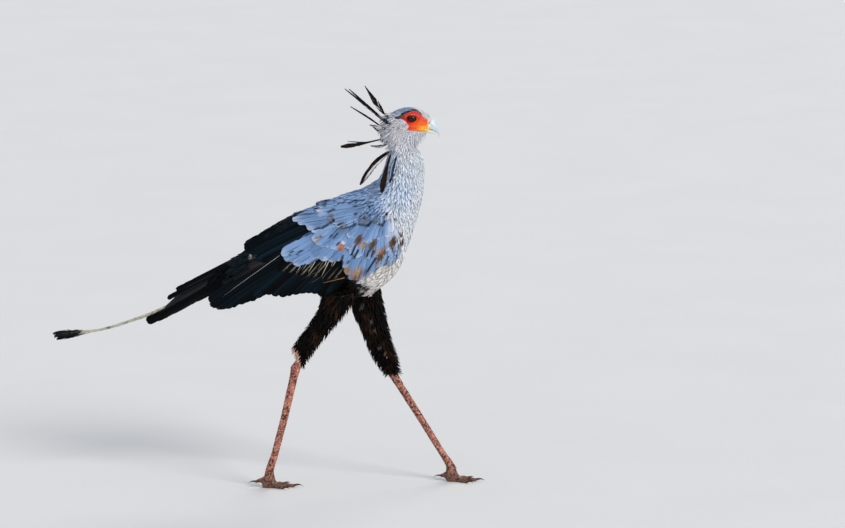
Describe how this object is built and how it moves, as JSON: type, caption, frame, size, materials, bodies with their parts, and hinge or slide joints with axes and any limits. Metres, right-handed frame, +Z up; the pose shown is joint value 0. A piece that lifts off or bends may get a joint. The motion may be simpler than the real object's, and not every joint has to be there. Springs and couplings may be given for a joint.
{
  "type": "secretary bird model",
  "caption": "Still life-size model of a walking secretary bird with raised crest plumes, folded wings, long tail feathers and long scaled legs.",
  "frame": {"origin": "middle of the bird's length and width, on the floor under its feet", "axes": "+X the way the bird faces, +Y its left side, +Z up"},
  "size_m": [1.0915, 0.1956, 1.0206],
  "materials": {
    "plumage_grey": "soft matt feathers, pale blue-grey to white",
    "plumage_black": "black flight and thigh feathers with a faint sheen",
    "crest": "matt black plumes",
    "long_feathers": "cream-white vane with a black tip",
    "bill": "smooth pale blue-grey horn",
    "eye": "wet gloss, dark brown",
    "leg": "scaled salmon-pink skin with brown blotches",
    "claw": "worn black horn"
  },
  "bodies": {
    "root": {"trunk": "plumage_grey", "neck": "plumage_grey", "head": "plumage_grey", "wing_right": "plumage_grey", "wing_left": "plumage_grey", "tail": "plumage_black", "thigh_right": "plumage_black", "thigh_left": "plumage_black", "long_tail_feather_right": "long_feathers", "long_tail_feather_left": "long_feathers", "upper_bill": "bill", "lower_bill": "bill", "eye_right": "eye", "eye_left": "eye", "shank_right": "leg", "shank_left": "leg", "foot_right": "leg", "foot_left": "leg", "claw_right_middle": "claw", "claw_right_inner": "claw", "claw_right_outer": "claw", "claw_right_hind": "claw", "claw_left_middle": "claw", "claw_left_inner": "claw", "claw_left_outer": "claw", "claw_left_hind": "claw", "crest_plume_high": "crest", "crest_plume_near": "crest", "crest_plume_mid": "crest", "crest_plume_far": "crest", "crest_plume_short_a": "crest", "crest_plume_short_b": "crest", "crest_plume_short_c": "crest", "crest_plume_level": "crest", "crest_plume_level_far": "crest", "crest_plume_low": "crest", "crest_plume_low_far": "crest", "crest_plume_hanging": "crest", "crest_plume_neck": "crest", "crest_plume_neck_far": "crest"}
  },
  "joints": []
}
